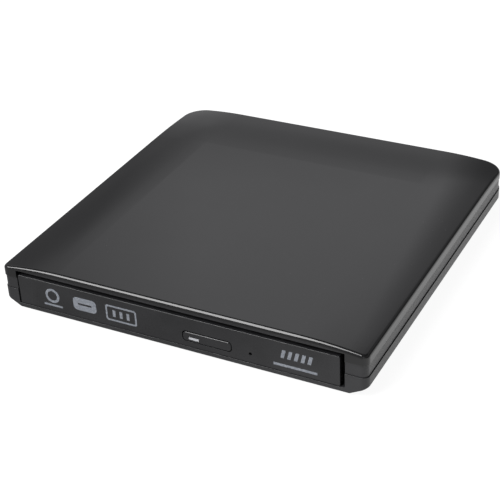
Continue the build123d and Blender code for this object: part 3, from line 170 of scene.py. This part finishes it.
def gloss_black():
    """Polished lid: deep black, very slightly uneven, with faint hairlines and a little dust."""
    black = (0.007, 0.007, 0.0074)
    look = new_look("gloss_black", black, 0.07)
    set_input(look, "Base Color", dusted(look, black, (0.1, 0.1, 0.105), 0.5))
    smears = noise(look, 22 * MM, detail=4.0)
    hairlines = noise(look, 0.5 * MM, stretch=(1, 0.03, 1), turn=0.4)
    roughness = remap(look, smears, 0.35, 0.7, 0.055, 0.1)
    roughness = combine(look, "ADD", roughness, remap(look, hairlines, 0.62, 0.8, 0.0, 0.05))
    set_input(look, "Roughness", roughness)
    relief(look, noise(look, 28 * MM, detail=1.0), 0.012 * MM, edge=0.12 * MM)
    return look


def textured_plastic(name, colour, roughness, grain, depth, edge=0.15 * MM):
    """Moulded plastic with a fine spark-eroded grain, slight mottling and rounded edges."""
    look = new_look(name, colour, roughness)
    paler = tuple(1.35 * part for part in colour)
    mottled = blend_colours(look, remap(look, noise(look, 9 * MM, 3.0), 0.35, 0.65), colour, paler)
    set_input(look, "Base Color", mottled)
    pits = noise(look, grain, detail=3.0)
    set_input(look, "Roughness", remap(look, pits, 0.35, 0.65, roughness - 0.06, roughness + 0.06))
    relief(look, pits, depth, edge)
    return look


def bezel_plastic(name, roughness):
    """The drive's own front: satin black with a very fine grain and crisp edges."""
    black = (0.011, 0.011, 0.0121)
    return textured_plastic(name, black, roughness, 0.3 * MM, 0.008 * MM, edge=0.05 * MM)


def rubber_black():
    """Soft feet: dull black with a fine grain."""
    return textured_plastic("rubber_black", (0.022, 0.022, 0.023), 0.75, 0.35 * MM, 0.02 * MM)


def foam_dark():
    """Open-looking foam: round cells all over."""
    look = new_look("foam_dark", (0.05, 0.05, 0.052), 0.95)
    bubbles = cells(look, 0.8 * MM)
    # each cell is painted darker towards its hollow middle: painted shade in the pores
    set_input(look, "Base Color", blend_colours(look, bubbles, (0.02, 0.02, 0.02), (0.09, 0.09, 0.095)))
    relief(look, bubbles, 0.25 * MM)
    return look


def lamp_window():
    """Frosted light guide: pale, slightly see-through."""
    look = new_look("lamp_window", (0.5, 0.51, 0.53), 0.35)
    frost = noise(look, 0.25 * MM)
    set_input(look, "Base Color", blend_colours(look, frost, (0.42, 0.43, 0.45), (0.62, 0.63, 0.65)))
    set_input(look, "Transmission Weight", 0.15)
    relief(look, frost, 0.01 * MM)
    return look


def chip_black():
    """Component bodies: fine-grained moulding with crisp edges."""
    return textured_plastic("chip_black", (0.03, 0.03, 0.033), 0.5, 0.15 * MM, 0.008 * MM, edge=0.08 * MM)


def hub_plastic():
    """Slippery dark hub moulding with a fine grain."""
    return textured_plastic("hub_white", (0.1, 0.1, 0.105), 0.35, 0.3 * MM, 0.006 * MM, edge=0.1 * MM)


def lens_plastic():
    """Clear moulded lens with a bluish coating."""
    look = new_look("lens_plastic", (0.62, 0.7, 0.9), 0.03)
    set_input(look, "Transmission Weight", 0.85)
    set_input(look, "IOR", 1.53)
    tint = remap(look, noise(look, 1.6 * MM), 0.3, 0.7)
    set_input(look, "Base Color", blend_colours(look, tint, (0.5, 0.62, 0.95), (0.72, 0.66, 0.9)))
    return look


# ------------------------------------------------------------ metals and boards


def sheet_metal(name, colour, roughness, spangle):
    """Plated sheet: directionless soft blotches, fine rolling lines and small changes of roughness."""
    look = new_look(name, colour, roughness, metallic=1.0)
    darker = tuple(0.78 * part for part in colour)
    blotches = remap(look, noise(look, spangle, detail=4.0), 0.35, 0.65)
    set_input(look, "Base Color", blend_colours(look, blotches, darker, colour))
    lines = noise(look, 0.25 * MM, stretch=(1, 0.02, 1))
    set_input(look, "Roughness", remap(look, lines, 0.3, 0.7, roughness - 0.08, roughness + 0.1))
    relief(look, lines, 0.004 * MM, edge=0.1 * MM)
    return look


def turned_metal(name, colour, roughness):
    """Ground or turned bright metal with fine scratches in all directions."""
    look = new_look(name, colour, roughness, metallic=1.0)
    scratches = noise(look, 0.12 * MM, detail=3.0, stretch=(1, 1, 0.2))
    stained = tuple(0.6 * part for part in colour)
    stains = remap(look, noise(look, 4 * MM), 0.35, 0.65, 0.0, 0.5)
    set_input(look, "Base Color", blend_colours(look, stains, colour, stained))
    set_input(look, "Roughness", remap(look, scratches, 0.3, 0.7, roughness - 0.05, roughness + 0.08))
    relief(look, scratches, 0.003 * MM, edge=0.06 * MM)
    return look


def copper_wire():
    """Enamelled wire wound in close turns."""
    look = new_look("copper_wire", (0.7, 0.33, 0.14), 0.3, metallic=0.9)
    inputs = {"Vector": place(look), "Scale": 1 / (1.1 * MM), "Distortion": 0.6}
    turns = make_node(look, "TexWave", {"bands_direction": "Z"}, inputs).outputs["Fac"]
    # painted shade in the grooves between turns and a painted highlight on each turn's crown
    set_input(look, "Base Color", blend_colours(look, turns, (0.3, 0.12, 0.05), (0.8, 0.4, 0.18)))
    relief(look, turns, 0.08 * MM)
    return look


def circuit_board():
    """Green solder mask over copper tracks, with the tracks as slightly raised paler lanes."""
    look = new_look("board_green", (0.02, 0.12, 0.05), 0.35)
    inputs = {"Vector": place(look, turn=radians(45)), "Scale": 1 / (9 * MM)}
    inputs.update({"Distortion": 3.0, "Detail": 0.0})
    lanes = make_node(look, "TexWave", {"bands_direction": "X"}, inputs).outputs["Fac"]
    blocks = remap(look, noise(look, 7 * MM, detail=0.0), 0.48, 0.5)
    tracks = combine(look, "MULTIPLY", remap(look, lanes, 0.72, 0.76), blocks)
    weave = remap(look, noise(look, 0.6 * MM), 0.3, 0.7, 0.0, 0.25)
    mask = blend_colours(look, weave, (0.012, 0.085, 0.035), (0.03, 0.14, 0.06))
    set_input(look, "Base Color", blend_colours(look, tracks, mask, (0.07, 0.27, 0.1)))
    relief(look, tracks, 0.03 * MM)
    return look


def cable_look():
    """White flat cable with the dark edges of its conductors showing through, side by side."""
    look = new_look("cable_white", (0.75, 0.75, 0.72), 0.4)
    inputs = {"Vector": place(look), "Scale": 1 / (3.2 * MM)}
    wires = make_node(look, "TexWave", {"bands_direction": "X"}, inputs).outputs["Fac"]
    strands = remap(look, wires, 0.55, 0.75)
    set_input(look, "Base Color", blend_colours(look, strands, (0.78, 0.78, 0.75), (0.5, 0.49, 0.45)))
    relief(look, strands, 0.02 * MM)
    return look


def print_look():
    """Bluish-grey ink, a little uneven, over the bezel's satin plastic."""
    look = new_look("print_grey", (0.22, 0.235, 0.265), 0.45)
    patchy = remap(look, noise(look, 0.5 * MM, detail=4.0), 0.35, 0.7)
    thin_ink, full_ink = (0.15, 0.162, 0.187), (0.26, 0.275, 0.305)
    set_input(look, "Base Color", blend_colours(look, patchy, thin_ink, full_ink))
    relief(look, patchy, 0.004 * MM)
    return look


LOOKS = {
    "gloss_black": gloss_black(),
    "matte_black": textured_plastic("matte_black", (0.015, 0.015, 0.0163), 0.38, 0.4 * MM, 0.02 * MM),
    "bezel_black": bezel_plastic("bezel_black", 0.33),
    "button_black": bezel_plastic("button_black", 0.28),
    "lamp_window": lamp_window(),
    "tray_plastic": textured_plastic("tray_plastic", (0.03, 0.03, 0.032), 0.45, 0.35 * MM, 0.018 * MM),
    "rubber_black": rubber_black(),
    "foam_dark": foam_dark(),
    "steel_sheet": sheet_metal("steel_sheet", (0.6, 0.61, 0.62), 0.32, 6 * MM),
    "steel_screw": turned_metal("steel_screw", (0.2, 0.2, 0.21), 0.35),
    "steel_bright": turned_metal("steel_bright", (0.7, 0.7, 0.71), 0.2),
    "aluminium_satin": sheet_metal("aluminium_satin", (0.74, 0.74, 0.75), 0.38, 12 * MM),
    "board_green": circuit_board(),
    "chip_black": chip_black(),
    "socket_plastic": textured_plastic("socket_plastic", (0.02, 0.02, 0.02), 0.4, 0.3 * MM, 0.01 * MM),
    "copper_wire": copper_wire(),
    "magnet_grey": sheet_metal("magnet_grey", (0.36, 0.36, 0.38), 0.3, 2 * MM),
    "lens_plastic": lens_plastic(),
    "cable_white": cable_look(),
    "hub_white": hub_plastic(),
}


def dress_cad_nodes():
    """Gives every CAD node the look of its own material slot."""
    for subpart in frame["record"]["subparts"]:
        node = frame["nodes"][subpart["node"]]
        for place_in_node in node.material_slots:
            place_in_node.material = LOOKS[subpart["material_slot"]]


dress_cad_nodes()

# ------------------------------------------------------------ printed marks on the bezel

BEZEL_LOW, BEZEL_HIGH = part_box("bezel")
INK_THICK = 0.02 * MM
CIRCLE_POINTS = 40
CORNER_STEPS = 6  # straight pieces in each rounded corner


def circle(x, z, radius):
    """Points of a circle in millimetres from the bezel's lower left corner."""
    angles = [2 * pi * step / CIRCLE_POINTS for step in range(CIRCLE_POINTS)]
    return [(x + radius * cos(angle), z + radius * sin(angle)) for angle in angles]


def rounded(x, z, corner):
    """Points of a rounded rectangle between two limits in each direction."""
    points = []
    middles = ((x[1], z[1], 0), (x[0], z[1], 90), (x[0], z[0], 180), (x[1], z[0], 270))
    for corner_x, corner_z, start in middles:
        centre_x = corner_x - corner if corner_x == x[1] else corner_x + corner
        centre_z = corner_z - corner if corner_z == z[1] else corner_z + corner
        for step in range(CORNER_STEPS + 1):
            angle = radians(start + 90 * step / CORNER_STEPS)
            points.append((centre_x + corner * cos(angle), centre_z + corner * sin(angle)))
    return points


def bar(x, z):
    """Points of a plain rectangle."""
    return [(x[0], z[0]), (x[1], z[0]), (x[1], z[1]), (x[0], z[1])]


def printed_mark(name, outlines):
    """A thin layer of ink on the bezel's face. An outline inside another one is a hole in it."""
    curve = bpy.data.curves.new(name, "CURVE")
    curve.dimensions = "2D"
    curve.fill_mode = "BOTH"
    curve.extrude = INK_THICK
    for outline in outlines:
        spline = curve.splines.new("POLY")
        spline.points.add(len(outline) - 1)
        for point, (x, z) in zip(spline.points, outline):
            point.co = (x * MM, z * MM, 0, 1)
        spline.use_cyclic_u = True
    flat = bpy.data.objects.new(name + "_outline", curve)
    mesh = bpy.data.meshes.new_from_object(flat)
    bpy.data.objects.remove(flat)
    mark = bpy.data.objects.new(name, mesh)
    bpy.context.scene.collection.objects.link(mark)
    upright = Matrix.Rotation(radians(90), 4, "X")
    mark.data.transform(Matrix.Translation((BEZEL_LOW.x, BEZEL_LOW.y, BEZEL_LOW.z)) @ upright)
    mark.data.materials.clear()
    mark.data.materials.append(PRINT)
    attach(mark, "tray")


PRINT = print_look()


def ring_mark():
    """A plain ring with a bar beneath it."""
    middle, height = 14.6, 6.5
    outlines = [circle(middle, height, radius) for radius in (3.0, 2.0)]
    outlines.append(bar((middle - 4.0, middle + 4.0), (2.0, 2.8)))
    printed_mark("mark_ring", outlines)


def badge_mark():
    """A solid rounded badge with a slit across it."""
    outlines = [rounded((23.6, 33.4), (3.3, 8.7), 1.6), rounded((25.6, 31.4), (5.6, 6.4), 0.35)]
    printed_mark("mark_badge", outlines)


def panel_mark():
    """An outlined panel with three upright bars inside."""
    outlines = [rounded((37.4, 50.2), (2.4, 9.0), 1.0), rounded((38.1, 49.5), (3.1, 8.3), 0.6)]
    for step in range(3):
        middle = 40.9 + 2.9 * step
        outlines.append(bar((middle - 0.6, middle + 0.6), (4.3, 7.1)))
    printed_mark("mark_panel", outlines)


def burst_mark():
    """A row of leaning bars over a long strip."""
    outlines = [bar((103.9, 120.2), (2.0, 3.0))]
    for step in range(5):
        left = 106.6 + 2.5 * step
        outlines.append([(left, 5.5), (left + 1.3, 5.5), (left + 2.1, 8.8), (left + 0.8, 8.8)])
    printed_mark("mark_bars", outlines)


ring_mark()
badge_mark()
panel_mark()
burst_mark()

# ------------------------------------------------------------ flat cable

CABLE_THICK = 0.1 * MM
CABLE_SHORTER = 8.2 * MM  # from the connector board back to the end fixed to the tray
CABLE_STEPS = 24  # pieces along each straight run
FOLD_STEPS = 16  # pieces round the fold
CABLE_COLUMNS = 8  # pieces across the width


def cable_path(low, high, thick):
    """The cable's middle line as (y, z): from the connector board, round its fold, back to the tray."""
    radius = (high.z - low.z - thick) / 2
    middle = (low.z + high.z) / 2
    fold = low.y + radius + thick / 2
    path = []
    for step in range(CABLE_STEPS + 1):
        path.append((high.y + (fold - high.y) * step / CABLE_STEPS, middle - radius))
    for step in range(1, FOLD_STEPS + 1):
        angle = radians(-90 - 180 * step / FOLD_STEPS)
        path.append((fold + radius * cos(angle), middle + radius * sin(angle)))
    tray_end = high.y - CABLE_SHORTER
    for step in range(1, CABLE_STEPS + 1):
        path.append((fold + (tray_end - fold) * step / CABLE_STEPS, middle + radius))
    return path


def flat_cable():
    """The folded flat cable, drawn in one piece: its lower run from the connector board, its upper run
    back to the tray.
    """
    low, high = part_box("flex_cable")
    mesh = bpy.data.meshes.new("flat_cable")
    path = cable_path(low, high, CABLE_THICK)
    width = high.x - low.x
    row = CABLE_COLUMNS + 1
    across = [low.x + width * column / CABLE_COLUMNS for column in range(row)]
    points = [(x, y, z) for y, z in path for x in across]
    faces = []
    for along in range(len(path) - 1):
        for column in range(CABLE_COLUMNS):
            corner = along * row + column
            faces.append((corner, corner + 1, corner + row + 1, corner + row))
    mesh.from_pydata(points, [], faces)
    cable = bpy.data.objects.new("flat_cable", mesh)
    bpy.context.scene.collection.objects.link(cable)
    mesh.materials.append(LOOKS["cable_white"])
    for face in mesh.polygons:
        face.use_smooth = True
    thicken = cable.modifiers.new("thickness", "SOLIDIFY")
    thicken.thickness = CABLE_THICK
    thicken.offset = 0.0
    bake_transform(cable)
    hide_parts("flex_cable")


flat_cable()

# ------------------------------------------------------------ studio

LID_LOW, LID_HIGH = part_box("lid")
CASE_WIDTH = LID_HIGH.x - LID_LOW.x
CASE_MIDDLE = (Vector((LID_LOW.x, LID_LOW.y, 0)) + LID_HIGH) / 2

# Camera: the direction and distance that line the case's corners up with the picture
VIEW_AZIMUTH = radians(28.32)
VIEW_ELEVATION = radians(31.51)
VIEW_ROLL = radians(-2.96)
VIEW_DISTANCE = 3.4895 * CASE_WIDTH
VIEW_SHIFT = Vector((1.21, -16.89, 0)) * MM
LENS = 96.04
NEAR_CLIP = 0.01


def photo_camera():
    """The camera that sees the drive from the front right and above, tilted by a few degrees."""
    back = Vector((
        sin(VIEW_AZIMUTH) * cos(VIEW_ELEVATION),
        -cos(VIEW_AZIMUTH) * cos(VIEW_ELEVATION),
        sin(VIEW_ELEVATION),
    ))
    level = Vector((cos(VIEW_AZIMUTH), sin(VIEW_AZIMUTH), 0))
    upright = back.cross(level)
    right = cos(VIEW_ROLL) * level + sin(VIEW_ROLL) * upright
    up = cos(VIEW_ROLL) * upright - sin(VIEW_ROLL) * level
    data = bpy.data.cameras.new("photo_camera")
    data.lens = LENS
    camera = bpy.data.objects.new("photo_camera", data)
    bpy.context.scene.collection.objects.link(camera)
    turn = Matrix((right, up, back)).transposed().to_4x4()
    camera.matrix_world = Matrix.Translation(CASE_MIDDLE + VIEW_SHIFT + back * VIEW_DISTANCE) @ turn
    data.clip_start = NEAR_CLIP
    bpy.context.scene.camera = camera


# Brightness of the surroundings: (degrees above the horizon, brightness)
SKY = (
    (0.0, 0.9),
    (10.0, 0.6),
    (14.0, 0.5),
    (19.0, 0.45),
    (21.0, 0.4),
    (23.0, 0.42),
    (25.0, 0.48),
    (27.0, 0.62),
    (28.5, 0.78),
    (31.0, 0.87),
    (36.0, 0.92),
    (40.0, 0.85),
    (42.5, 0.26),
    (50.0, 0.14),
    (90.0, 0.14),
)
# How much of that brightness is left towards the camera's left (-1) and right (+1)
PANEL = (
    (-1.0, 0.5),
    (-0.17, 0.55),
    (-0.1, 0.82),
    (-0.04, 1.0),
    (0.19, 1.0),
    (0.24, 0.65),
    (0.28, 0.45),
    (0.33, 0.33),
    (1.0, 0.3),
)
BACKDROP = 0.95
BLUE_CAST = 1.01  # the surroundings' blue against their red and green


def set_stops(ramp, stops):
    """Fills a colour ramp with (position, brightness) pairs."""
    elements = ramp.color_ramp.elements
    while len(elements) < len(stops):
        elements.new(1.0)
    for element, (position, brightness) in zip(elements, stops):
        element.position = position
        element.color = (brightness, brightness, BLUE_CAST * brightness, 1)


def surroundings():
    """A dim studio with a bright panel behind and above the drive.

    The drive mirrors it. The camera itself sees a plain pale backdrop.
    """
    world = bpy.data.worlds.new("surroundings")
    bpy.context.scene.world = world
    world.use_nodes = True
    direction = make_node(world, "TexCoord").outputs["Generated"]
    height = make_node(world, "SeparateXYZ", inputs={"Vector": direction}).outputs["Z"]
    elevation = combine(world, "MULTIPLY", combine(world, "ARCSINE", height, 0.0), 2 / pi)
    sky = make_node(world, "ValToRGB", inputs={"Fac": elevation})
    set_stops(sky, [(degrees_up / 90, brightness) for degrees_up, brightness in SKY])
    sideways = make_node(world, "VectorMath", {"operation": "DOT_PRODUCT"})
    world.node_tree.links.new(direction, sideways.inputs[0])
    sideways.inputs[1].default_value = (cos(VIEW_AZIMUTH), sin(VIEW_AZIMUTH), 0)
    across = remap(world, sideways.outputs["Value"], -1.0, 1.0)
    panel = make_node(world, "ValToRGB", inputs={"Fac": across})
    set_stops(panel, [((side + 1) / 2, brightness) for side, brightness in PANEL])
    lit = make_node(world, "MixRGB", {"blend_type": "MULTIPLY"}, {"Fac": 1.0})
    world.node_tree.links.new(sky.outputs["Color"], lit.inputs["Color1"])
    world.node_tree.links.new(panel.outputs["Color"], lit.inputs["Color2"])
    direct = make_node(world, "LightPath").outputs["Is Camera Ray"]
    seen = blend_colours(world, direct, lit.outputs["Color"], (BACKDROP, BACKDROP, BACKDROP))
    background = world.node_tree.nodes["Background"]
    world.node_tree.links.new(seen, background.inputs["Color"])


SOFTBOX_DIRECTION = Vector((-0.4, -0.5, 0.75)).normalized()
SOFTBOX_DISTANCE = 8 * CASE_WIDTH
SOFTBOX_WIDTH = 4.9 * CASE_WIDTH
SOFTBOX_HEIGHT = 7.4 * CASE_WIDTH
SOFTBOX_RADIANCE = 10.0


def softbox():
    """A tall soft light above the front left, which draws the bright line along the lid's front edge."""
    data = bpy.data.lights.new("softbox", "AREA")
    data.shape = "RECTANGLE"
    data.size = SOFTBOX_WIDTH
    data.size_y = SOFTBOX_HEIGHT
    data.energy = SOFTBOX_RADIANCE * pi * SOFTBOX_WIDTH * SOFTBOX_HEIGHT
    light = bpy.data.objects.new("softbox", data)
    bpy.context.scene.collection.objects.link(light)
    light.location = CASE_MIDDLE + SOFTBOX_DIRECTION * SOFTBOX_DISTANCE
    light.rotation_mode = "QUATERNION"
    light.rotation_quaternion = SOFTBOX_DIRECTION.to_track_quat("Z", "Y")


FLOOR_HALF = 14 * CASE_WIDTH
TABLE_BRIGHTER = Vector((0.85, 0.53, 0))
TABLE_FADE = 0.4 * CASE_WIDTH
TABLE_DIM = 0.2
TABLE_BRIGHT = 0.8
TABLE_SHOWN = 0.93
CAMERA_BOOST = 2.0  # lifts what the camera sees to the limit TABLE_SHOWN everywhere


def table_look():
    """White table. It lights the drive less from the front left than from the right.

    It looks plain white from above and is clear from below, so that the underside can be seen.
    """
    look = new_look("table_white", (0.15, 0.15, 0.15), 0.9)
    set_input(look, "Specular IOR Level", 0.0)
    set_input(look, "Emission Color", (1, 1, 1, 1))
    across = make_node(look, "VectorMath", {"operation": "DOT_PRODUCT"})
    look.node_tree.links.new(place(look), across.inputs[0])
    across.inputs[1].default_value = TABLE_BRIGHTER
    ends = {"Value": across.outputs["Value"], "From Min": -TABLE_FADE, "From Max": TABLE_FADE}
    ends.update({"To Min": TABLE_DIM, "To Max": TABLE_BRIGHT})
    mirrored = make_node(look, "MapRange", {"interpolation_type": "SMOOTHSTEP"}, ends).outputs["Result"]
    direct = make_node(look, "LightPath").outputs["Is Camera Ray"]
    shown = combine(look, "ADD", mirrored, combine(look, "MULTIPLY", direct, CAMERA_BOOST))
    set_input(look, "Emission Strength", combine(look, "MINIMUM", shown, TABLE_SHOWN))
    from_below = make_node(look, "NewGeometry").outputs["Backfacing"]
    sides = make_node(look, "MixShader", inputs={"Fac": from_below})
    nodes, links = look.node_tree.nodes, look.node_tree.links
    links.new(nodes["Principled BSDF"].outputs["BSDF"], sides.inputs[1])
    links.new(make_node(look, "BsdfTransparent").outputs["BSDF"], sides.inputs[2])
    links.new(sides.outputs["Shader"], nodes["Material Output"].inputs["Surface"])
    return look


def pale_floor():
    """The floor that the drive stands on."""
    mesh = bpy.data.meshes.new("floor")
    near, far = -FLOOR_HALF, FLOOR_HALF
    corners = [(near, near), (far, near), (far, far), (near, far)]
    mesh.from_pydata([(x, y, cad_low.z) for x, y in corners], [], [(0, 1, 2, 3)])
    floor = bpy.data.objects.new("floor", mesh)
    bpy.context.scene.collection.objects.link(floor)
    mesh.materials.append(table_look())


photo_camera()
surroundings()
softbox()
pale_floor()
bpy.context.scene.view_settings.view_transform = "Standard"
